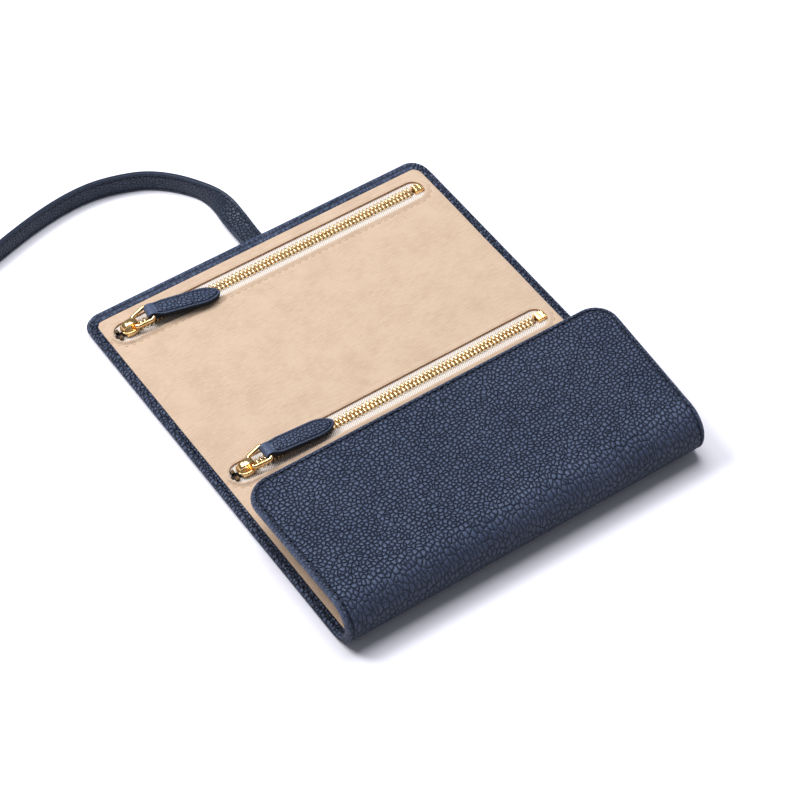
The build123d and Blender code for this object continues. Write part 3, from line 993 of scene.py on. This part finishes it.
def rounded_loop(corners, radius, steps=8):
    """A flat closed loop through corners, each rounded."""
    points = []
    for k, corner in enumerate(corners):
        before = (corners[k - 1] - corner).normalized()
        after = (corners[(k + 1) % len(corners)] - corner).normalized()
        half = acos(max(-1.0, min(1.0, before.dot(after)))) / 2
        reach = radius / sin(half) * cos(half)
        centre = corner + (before + after).normalized() * radius / sin(half)
        start, end = corner + before * reach, corner + after * reach
        for t in spaced(0, 1, 1 / steps):
            direction = (start.lerp(end, t) - centre).normalized()
            points.append(centre + direction * radius)
    return points


def make_slider(number):
    """Plate, side flanges and domed crown of one zip's slider."""
    low, high = box_mm(f"slider_{number}_body")
    x, y = (low[0] + high[0]) / 2, (low[1] + high[1]) / 2
    plate_top = box_mm(f"slider_{number}_crown")[0][2]
    rings = []
    for inset, drop in PLATE_PROFILE:
        outline = oval(SLIDER_HALF_LENGTH - inset, SLIDER_HALF_WIDTH - inset)
        rings.append([metres(x + u, y + v, plate_top - drop) for u, v in outline])
    plate = stacked_rings(f"slider_{number}_plate", rings, GOLD)
    settle(plate, f"slider_{number}", "gold_metal", f"slider_{number}_body")
    for side in (-1, 1):
        make_flange(number, side, x, y, low[2], plate_top - PLATE_PROFILE[0][1] + 0.1)
    make_crown(number, x, y, plate_top)


def make_flange(number, side, x, y, low, high):
    """The rolled side of the slider, which guides one tape."""
    outline = oval(SLIDER_HALF_LENGTH - 0.2, SLIDER_HALF_WIDTH - 0.2, count=72)
    outline = [(u, v) for u, v in outline if v > FLANGE_INNER]
    outline += [(outline[-1][0], FLANGE_INNER), (outline[0][0], FLANGE_INNER)]
    middle = (FLANGE_INNER + SLIDER_HALF_WIDTH) / 2
    rings = []
    for inset, z in ((0.12, low), (0.0, low + 0.15), (0.0, high)):
        rings.append([metres(x + u * (1 - inset * 0.2), y + side * (middle + (v - middle) * (1 - inset)), z)
                      for u, v in outline])
    name = f"slider_{number}_flange_" + ("left" if side > 0 else "right")
    settle(stacked_rings(name, rings, GOLD), f"slider_{number}", "gold_metal")


def make_crown(number, x, y, base):
    """A broad domed band that arches over the bail."""
    rings = []
    for angle in (t * pi / 2 for t in spaced(-1.0, 1.0, 0.06)):
        rise = (CROWN_HEIGHT + CROWN_SUNK) * cos(angle) ** 0.8
        outer = Vector((x + CROWN_HALF_LENGTH * sin(angle), y, base - CROWN_SUNK + rise))
        normal = Vector((sin(angle) / CROWN_HALF_LENGTH, 0, cos(angle) / CROWN_HEIGHT)).normalized()
        half = CROWN_WIDTH / 2 * (0.78 + 0.22 * cos(angle))
        section = []
        for a in spaced(0, 2 * pi, pi / 10)[:-1]:
            thick = CROWN_THICK / 2 * (signed_power(sin(a), 0.7) - 1)
            section.append((outer + Vector((0, half * cos(a), 0)) + normal * thick) * MM)
        rings.append(section)
    crown = stacked_rings(f"slider_{number}_crown_arch", rings, GOLD)
    settle(crown, f"slider_{number}", "gold_metal", f"slider_{number}_crown")


def make_bail(number):
    """The wire loop between the crown and the pull tab."""
    pivot = Vector(JOINTS[f"bail_{number}_swing"]["pos_m"]) / MM
    bar = Vector(JOINTS[f"tab_{number}_swing"]["pos_m"]) / MM
    corners = [pivot + Vector((0, -BAIL_PIVOT_HALF, 0)), bar + Vector((0, -BAIL_BAR_HALF, 0)),
               bar + Vector((0, BAIL_BAR_HALF, 0)), pivot + Vector((0, BAIL_PIVOT_HALF, 0))]
    wire = tube(f"pull_bail_{number}_wire", rounded_loop(corners, BAIL_CORNER), WIRE_RADIUS, GOLD)
    settle(wire, f"bail_{number}", "gold_metal", f"pull_bail_{number}")


def make_painted_pocket_shade(number, body):
    """A near-black sheet in the gap between the tapes: painted shade where the pocket shows behind the
    slider.
    """
    tape_top = box_mm(f"zip_{number}_tapes")[1][2]
    x, y = SLOT_X - SLOT_HALF + 3.1, ZIP_Y[number]
    rings = [[metres(x + u, y + v, z) for u, v in oval(2.9, 1.75, 2.2, 32)]
             for z in (tape_top - 0.2, tape_top + 0.03)]
    settle(stacked_rings(f"zip_{number}_painted_pocket_shade", rings, POCKET_PAINTED_SHADE), body, "pocket_cotton")


def dress(node, material):
    """Gives a CAD node that shows as it is its own material."""
    obj = frame["nodes"][node]
    obj.data.materials.clear()
    obj.data.materials.append(material)


# ---------------------------------------------------------------- wrap strap
STRAP_X = -1.0
STRAP_STAND = 5.7                       # height of the strap's middle where it stands on edge
STRAP_WIDTH = 11.0
STRAP_THICK = 2.2
STRAP_SEAM = 1.75                       # from the strap's edge to its stitches
STRAP_EXIT = metres(STRAP_X, FAR_Y, 2.5)
STRAP_ROUTE = [
    (STRAP_X, FAR_Y - 2.5, 2.5),
    (STRAP_X, 114.0, 2.7),
    (STRAP_X, 137.7, STRAP_STAND),
    (-17.6, 160.6, STRAP_STAND),
    (-38.0, 169.0, STRAP_STAND),
    (-56.0, 170.9, STRAP_STAND),
    (-80.0, 167.2, STRAP_STAND),
    (-112.0, 157.5, STRAP_STAND),
    (-140.0, 151.5, STRAP_STAND),
]
COIL_CENTRE = (-151.9, 207.2)
COIL_RADIUS = 57.0
COIL_STEPS = 20                         # control points in a turn
COIL_TURNS = 1.06
COIL_PITCH = 4.5


def coil_points():
    """The unseen end of the strap, wound in one neat turn, clockwise and inwards."""
    start = atan2(STRAP_ROUTE[-1][1] - COIL_CENTRE[1], STRAP_ROUTE[-1][0] - COIL_CENTRE[0])
    points = []
    for k in range(1, round(COIL_STEPS * COIL_TURNS) + 1):
        turn = k / COIL_STEPS
        radius = (COIL_RADIUS - COIL_PITCH * turn) / cos(pi / COIL_STEPS)
        angle = start - 2 * pi * turn
        x, y = COIL_CENTRE[0] + radius * cos(angle), COIL_CENTRE[1] + radius * sin(angle)
        points.append((x, y, STRAP_STAND))
    return points


def route_line(name, points):
    """Points along a smooth spline whose control points are the route."""
    data = bpy.data.curves.new(name, "CURVE")
    data.dimensions = "3D"
    spline = data.splines.new("NURBS")
    spline.points.add(len(points) - 1)
    for target, point in zip(spline.points, points):
        target.co = (*metres(*point), 1.0)
    spline.order_u = 3
    spline.use_endpoint_u = True
    data.resolution_u = 16
    bare = add_to_scene(name, data)
    bpy.context.view_layer.update()
    mesh = bpy.data.meshes.new_from_object(bare)
    line = [v.co.copy() for v in mesh.vertices]
    bpy.data.objects.remove(bare)
    return line


def cumulative(line):
    lengths = [0.0]
    for a, b in zip(line, line[1:]):
        lengths.append(lengths[-1] + (b - a).length)
    return lengths


def strap_section():
    """The strap's cross-section as (across, out), padded between two sewn lines."""
    half, thick = STRAP_WIDTH / 2, STRAP_THICK / 2
    face = []
    for v in spaced(-half + 0.7, half - 0.7, 0.35):
        groove = 0.30 * bump(abs(v), half - STRAP_SEAM, 0.5)
        pad = 0.16 * (1 - (v / half) ** 2)
        face.append((v, thick - 0.12 - groove + pad))
    corner = [(-half + 0.30, thick - 0.22), (-half + 0.06, thick - 0.55)]
    top = corner[::-1] + face + [(-v, n) for v, n in corner]
    return top + [(-v, -n) for v, n in top]


def strap_stations(line):
    """(point, out, across, distance run) along the strap, which turns from flat onto its edge."""
    run = cumulative(line)
    level = Vector((0, 0, 1))
    stations = []
    for k, point in enumerate(line):
        heading = (line[min(k + 1, len(line) - 1)] - line[max(k - 1, 0)]).normalized()
        side = level.cross(heading).normalized()        # to the left of the way it runs
        lean = smooth_step((run[k] / MM - 4.0) / 40.0) * pi / 2
        out = (cos(lean) * level + sin(lean) * side).normalized()
        stations.append((point, out, heading.cross(out).normalized(), run[k]))
    return stations


def make_strap():
    """The whole strap from its sewn end, flat, to its rounded tip in the coil."""
    line = route_line("strap_route", STRAP_ROUTE + coil_points())
    stations = strap_stations(line)
    total = stations[-1][3]
    section = strap_section()
    rings, flow, grain, groove = [], [], [], []
    for point, out, across, done in stations:
        left = (total - done) / MM
        tip = STRAP_WIDTH / 2
        squeeze = max(0.05, sqrt(max(0.0, 1 - (1 - left / tip) ** 2))) if left < tip else 1.0
        rings.append([point + across * v * squeeze * MM + out * n * MM for v, n in section])
        for v, n in section:
            edge = STRAP_WIDTH / 2 - abs(v)
            sewn = bump(edge, STRAP_SEAM, 0.5)
            flow.append((v + (0 if n > 0 else 60), done / MM, 0.0))
            # painted shade in the stitched grooves along both edges
            groove.append(0.7 * sewn)
            grain.append(0.25 + 0.75 * smooth_step((edge - 0.5) / 1.0) * (1 - 0.7 * sewn))
    strap = stacked_rings("wrap_strap", rings, NAVY_STRAP, flow=flow, grain=grain, groove=groove)
    stitching = make_strap_stitches(stations, total)
    settle(strap, "top_panel", "navy_leather", "strap_tongue", "strap_run", "strap_coil")
    settle(stitching, "top_panel", "navy_leather")


def make_strap_stitches(stations, total):
    """Stitches along both edges, on both faces."""
    def place_stitch(base, heading, across, out):
        return lambda v: base + heading * v.x * MM + across * v.y * MM + out * v.z * MM

    length, radius, pitch = STRAP_STITCH
    places = []
    where = 6 * MM
    k = 0
    while where < total - 8 * MM:
        while stations[k + 1][3] < where:
            k += 1
        a, b = stations[k], stations[k + 1]
        t = (where - a[3]) / (b[3] - a[3])
        point, out, across = (a[i].lerp(b[i], t) for i in (0, 1, 2))
        heading = (b[0] - a[0]).normalized()
        for side in (-1, 1):
            for face in (-1, 1):
                base = point + across * side * (STRAP_WIDTH / 2 - STRAP_SEAM) * MM
                base += out * face * (STRAP_THICK / 2 - 0.28) * MM
                places.append(place_stitch(base, heading, across, out * face))
        where += pitch * MM
    return copies("wrap_strap_stitching", capsule(length, radius), places, NAVY_THREAD)


# ---------------------------------------------------------------- pull tabs
TAB_LENGTH = 33.0
TAB_ROOT = 3.4
TAB_WIDE = 4.7
TAB_WIDE_AT = 23.0
TAB_HALF_THICK = 1.4
TAB_LOOP = 2.2
TAB_TIP = 4.0                           # length of the rounded tip
TAB_SEAM = 1.15                         # from the tab's edge to its stitches
TAB_EDGE_SHADE = 0.92                   # how dark the edge and the underside are: the edge's own dark paint plus painted shade, and painted shade all over the underside
TAB_DROOP = 5.0
TAB_YAW = {1: -9.0, 2: -1.0}


def tab_half_width(u):
    """Narrow at the loop, soon wide, and pointed like a lancet window at the tip."""
    if u < TAB_WIDE_AT:
        opened = 0.75 * smooth_step(u / 7.0) + 0.25 * max(0.0, u) / TAB_WIDE_AT
        return TAB_ROOT + (TAB_WIDE - TAB_ROOT) * opened
    t = min(1.0, (u - TAB_WIDE_AT) / (TAB_LENGTH - TAB_WIDE_AT))
    return TAB_WIDE * (1 - t ** 2.3) ** 0.62


def tab_half_thickness(u):
    """Round at the loop, thinner beyond it."""
    if u < 0:
        return sqrt(max(0.0, TAB_LOOP ** 2 - u * u))
    return TAB_HALF_THICK + (TAB_LOOP - TAB_HALF_THICK) * (1 - smooth_step(u / 4.5))


def tab_place(number):
    """A function that puts a point of the tab, u along it, v across it and n out of it, in the frame."""
    pivot = Vector(JOINTS[f"tab_{number}_swing"]["pos_m"])
    yaw = Matrix.Rotation(radians(TAB_YAW[number]), 3, "Z")
    droop = Matrix.Rotation(radians(TAB_DROOP), 3, "Y")
    return lambda u, v, n: pivot + droop @ (yaw @ Vector((u, v, 0)) + Vector((0, 0, n))) * MM


def tab_edge_distance(u, v):
    """How far inside the tab's outline a point is."""
    nearby = [u + step for step in (-1.5, -1.0, -0.5, 0.0, 0.5, 1.0, 1.5) if u + step <= TAB_LENGTH]
    sides = [hypot(u - a, abs(v) - tab_half_width(a)) for a in nearby]
    return min(*sides, TAB_LENGTH - u)


def make_tab(number):
    """A strip folded round the bail, sewn near its edge, with a padded top."""
    put = tab_place(number)
    us = [-TAB_LOOP * cos(a) for a in spaced(0.0, pi / 2, pi / 20)]
    us += spaced(0, TAB_LENGTH - TAB_TIP, 0.5)[1:]
    us += [TAB_LENGTH - TAB_TIP * (1 - sin(a)) for a in spaced(0, pi / 2, pi / 28)[1:]]
    insets = [0, 0.10, 0.3, 0.55, 0.8, 1.0, 1.2, 1.4, 1.65, 2.0, 2.6]
    offsets = [(-1, e) for e in insets] + [(0, t) for t in (-0.6, -0.2, 0.2, 0.6)]
    offsets += [(1, e) for e in insets[::-1]]
    verts, flow, grain, groove, index = [], [], [], [], {}
    for i, u in enumerate(us):
        half = max(tab_half_width(u), 0.05)
        thick = max(tab_half_thickness(u), 0.02)
        squeeze = min(1.0, half / TAB_ROOT)
        flat = 1 - smooth_step((3.4 - u) / 2.0)         # nothing round the loop, 1 beyond it
        for j, (sign, value) in enumerate(offsets):
            inner = max(0.02, half - insets[-1] * squeeze)
            v = sign * (half - value * squeeze) if sign else value * inner
            d = tab_edge_distance(u, v)
            rounded = 0.45 * (1 - min(1.0, d / 0.45)) ** 2
            sewn = flat * 0.42 * bump(d, TAB_SEAM, 0.5)
            pad = flat * 0.30 * smooth_step((d - 1.3) / 1.6)
            # painted shade in the stitched groove, and on the edge, which also has dark edge paint
            shade = max(flat * 0.8 * bump(d, TAB_SEAM, 0.45), TAB_EDGE_SHADE * (1 - smooth_step(d / 0.4)))
            pebbled = (0.3 + 0.7 * smooth_step((d - 0.5) / 0.8)) * (0.2 + 0.8 * flat)
            for side in (1, -1):
                index[(i, j, side)] = len(verts)
                verts.append(put(u, v, side * max(0.02, thick - rounded - sewn + (pad if side > 0 else 0))))
                flow.append((u, v + 40 * side + 200 * number, 0.0))
                # the top face takes that painted shade; the underside is painted dark all over, painted
                # shade
                groove.append(shade if side > 0 else TAB_EDGE_SHADE)
                grain.append(pebbled * (1 - 0.6 * bump(d, TAB_SEAM, 0.4)))
    last_row, last_col = len(us) - 1, len(offsets) - 1
    faces = []
    for i in range(last_row):
        for j in range(last_col):
            for side in (1, -1):
                faces.append([index[(i + a, j + b, side)] for a, b in QUAD])
    outline = [(i, 0) for i in range(last_row)] + [(last_row, j) for j in range(last_col)]
    outline += [(i, last_col) for i in range(last_row, 0, -1)] + [(0, j) for j in range(last_col, 0, -1)]
    for a, b in zip(outline, outline[1:] + outline[:1]):
        faces.append([index[(*a, 1)], index[(*b, 1)], index[(*b, -1)], index[(*a, -1)]])
    name = f"pull_tab_{number}_leather"
    tab = new_object(name, verts, faces, NAVY_TAB, flow=flow, grain=grain, groove=groove)
    settle(tab, f"tab_{number}", "navy_leather", f"pull_tab_{number}")
    make_tab_stitches(number, put)


def make_tab_stitches(number, put):
    """One line of stitches round the tab, on both faces."""
    def place_stitch(u, v, du, dv, side):
        level = side * (tab_half_thickness(u) - 0.16)
        return lambda t: put(u + t.x * du - t.y * dv, v + t.x * dv + t.y * du, level + side * t.z)

    tip_u = TAB_LENGTH - TAB_TIP
    half_line = [(u, tab_half_width(u) - TAB_SEAM) for u in spaced(4.0, tip_u, 0.5)]
    half_line += [(tip_u + 2.7 * sin(a), (tab_half_width(tip_u) - TAB_SEAM) * cos(a))
                  for a in spaced(0, pi / 2, pi / 16)[1:]]
    line = half_line + [(u, -v) for u, v in half_line[::-1][1:]]
    length, radius, pitch = TAB_STITCH
    places = [place_stitch(*at, *heading, side)
              for at, heading in along_polyline(line, pitch) for side in (1, -1)]
    stitching = copies(f"pull_tab_{number}_stitching", capsule(length, radius), places, NAVY_THREAD)
    settle(stitching, f"tab_{number}", "navy_leather")


# ---------------------------------------------------------------- stage
CAMERA_TARGET = metres(2.1, -7.8, 0.0)
CAMERA_AZIMUTH = -34.4
CAMERA_ELEVATION = 50.1
CAMERA_DISTANCE = 1.18
CAMERA_LENS = 123.5
FLOOR_HALF = 6.0                        # half the table's side, in metres


def make_camera():
    """The camera, aimed at the middle of the roll. Azimuth 0 looks along +Y."""
    azimuth, elevation = radians(CAMERA_AZIMUTH), radians(CAMERA_ELEVATION)
    back = Vector((sin(azimuth) * cos(elevation), -cos(azimuth) * cos(elevation), sin(elevation)))
    data = bpy.data.cameras.new("camera")
    data.lens = CAMERA_LENS
    data.sensor_width = 36.0
    data.clip_start, data.clip_end = 0.05, 20.0
    camera = add_to_scene("camera", data)
    camera.location = CAMERA_TARGET + back * CAMERA_DISTANCE
    camera.rotation_euler = (-back).to_track_quat("-Z", "Y").to_euler()
    bpy.context.scene.camera = camera


def area_light(name, at, size, power, colour=(1, 1, 1)):
    data = bpy.data.lights.new(name, "AREA")
    data.shape = "DISK"
    data.size = size
    data.energy = power
    data.color = colour
    light = add_to_scene(name, data)
    light.location = at
    light.rotation_euler = (-Vector(at)).to_track_quat("-Z", "Y").to_euler()


def make_stage():
    """A pale table, two soft lights and a pale sky."""
    g = Surface("white_table")
    faint = g.noise(g.point(), 3.0, 2.0)
    g.set("Base Color", g.ramp(faint, 0.0, (0.86, 0.86, 0.95), 1.0, (0.89, 0.89, 0.97)))
    g.set("Roughness", 0.9)
    g.set("Specular IOR Level", 0.1)
    corners = [(-FLOOR_HALF, -FLOOR_HALF, 0), (FLOOR_HALF, -FLOOR_HALF, 0),
               (FLOOR_HALF, FLOOR_HALF, 0), (-FLOOR_HALF, FLOOR_HALF, 0)]
    new_object("floor", corners, [[0, 1, 2, 3]], g.material, solid=False)
    area_light("key", (-0.55, 0.60, 1.10), 0.55, 14.5, (1.0, 0.99, 0.975))
    area_light("overhead", (0.15, 0.30, 1.35), 1.0, 17.0)
    world = bpy.data.worlds.new("studio")
    world.use_nodes = True
    sky = world.node_tree.nodes["Background"].inputs
    sky["Color"].default_value = (0.90, 0.93, 1.0, 1.0)
    sky["Strength"].default_value = 0.22
    bpy.context.scene.world = world
    bpy.context.scene.view_settings.view_transform = "Standard"


# ---------------------------------------------------------------- build
make_camera()
make_strap()
make_stage()
for stretch in STRETCHES:
    make_stretch(*stretch)
for zip_number, panel_body in ((1, "top_panel"), (2, "middle_panel")):
    make_teeth(zip_number, panel_body)
    make_core(zip_number, panel_body)
    make_bottom_stop(zip_number, panel_body)
    dress(f"zip_{zip_number}_tapes", TAPE)
    # the top stops are painted dark: painted shade
    dress(f"zip_{zip_number}_top_stops", GOLD_PAINTED_SHADE)
    make_painted_pocket_shade(zip_number, panel_body)
    make_slider(zip_number)
    make_bail(zip_number)
    make_tab(zip_number)
